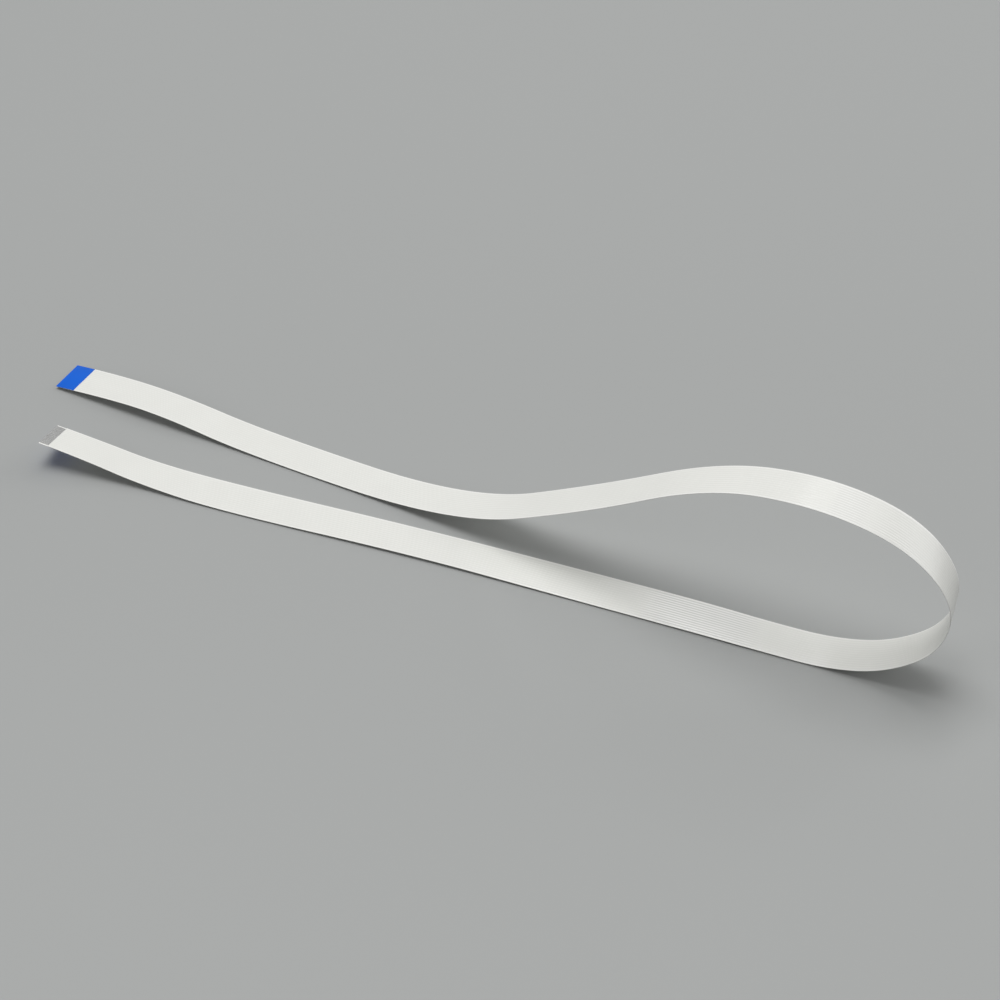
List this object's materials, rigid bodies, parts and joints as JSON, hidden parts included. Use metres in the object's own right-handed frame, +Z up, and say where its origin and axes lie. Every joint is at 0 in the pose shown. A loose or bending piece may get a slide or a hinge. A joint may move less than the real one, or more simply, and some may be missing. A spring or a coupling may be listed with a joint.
{
  "type": "flat flex cable",
  "caption": "Flat flex cable, a thin white ribbon of flat tinned conductors with bared contacts and a blue stiffener at each end, lying rolled back over itself.",
  "frame": {"origin": "on the table, under the middle of the box that the lying cable fills", "axes": "+X along the longest extent, from the two ends towards the loop; +Z up from the table"},
  "size_m": [0.3075, 0.161, 0.0621],
  "materials": {
    "white_film": "white polyester film with a satin gloss",
    "tinned_copper": "flat copper with a bright tin coat",
    "blue_film": "blue polyester stiffener with a satin gloss"
  },
  "bodies": {
    "root": {"backing_film": "white_film", "cover_film": "white_film", "conductor_01": "tinned_copper", "conductor_02": "tinned_copper", "conductor_03": "tinned_copper", "conductor_04": "tinned_copper", "conductor_05": "tinned_copper", "conductor_06": "tinned_copper", "conductor_07": "tinned_copper", "conductor_08": "tinned_copper", "conductor_09": "tinned_copper", "conductor_10": "tinned_copper", "conductor_11": "tinned_copper", "conductor_12": "tinned_copper", "conductor_13": "tinned_copper", "stiffener_near": "blue_film", "stiffener_far": "blue_film"}
  },
  "joints": []
}
